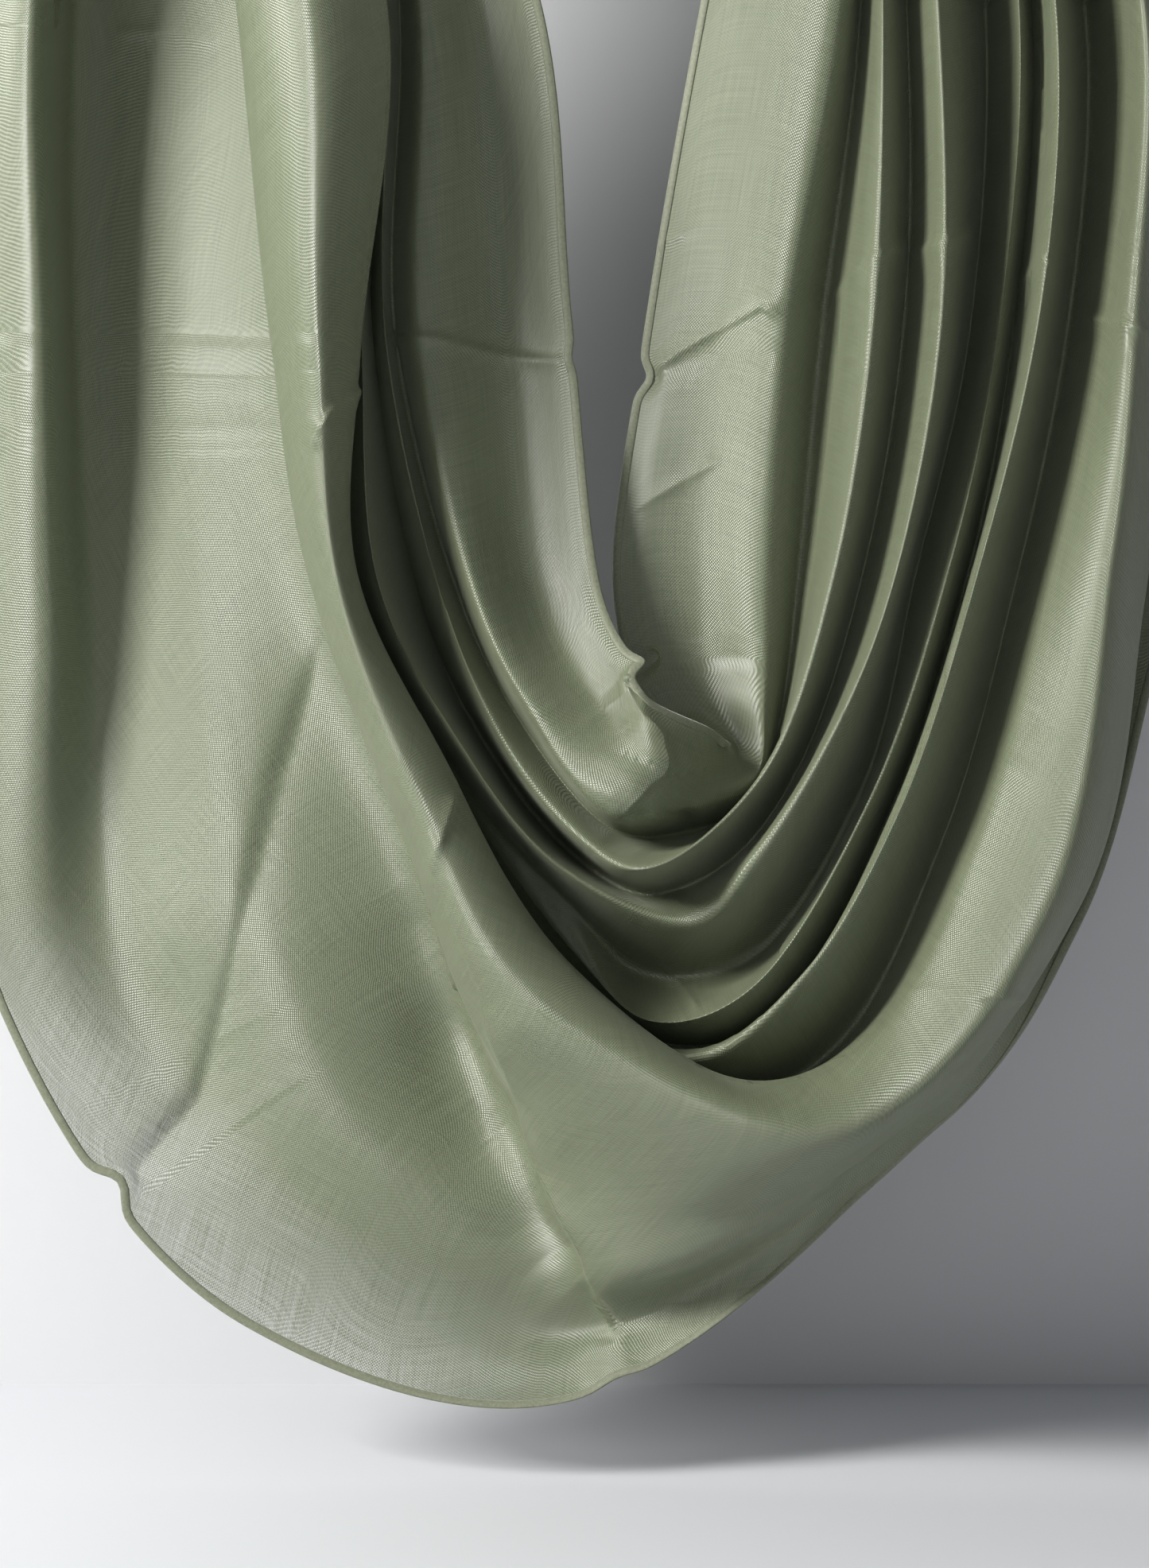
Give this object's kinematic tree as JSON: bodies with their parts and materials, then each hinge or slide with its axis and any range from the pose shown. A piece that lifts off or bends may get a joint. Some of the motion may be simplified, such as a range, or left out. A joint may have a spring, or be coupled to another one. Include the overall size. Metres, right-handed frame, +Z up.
{
  "type": "hijab headscarf",
  "caption": "Long rectangular woven headscarf with overlocked hems, held up in pleated gathers so that it hangs in a deep draped swag.",
  "frame": {"origin": "middle of the cloth at the left hold, where a hand pinches the left gather", "axes": "+Z up, +X across from the left hold to the right hold, -Y towards the viewer"},
  "size_m": [0.6122, 0.14, 0.8351],
  "materials": {
    "cloth": "plain fine weave with a soft satin sheen",
    "hem_thread": "overlocked thread"
  },
  "bodies": {
    "root": {"cloth_left_leg": "cloth", "cloth_swag": "cloth", "cloth_right_leg": "cloth", "hem_inner": "hem_thread", "hem_outer": "hem_thread", "hem_left_end": "hem_thread", "hem_right_end": "hem_thread"}
  },
  "joints": []
}
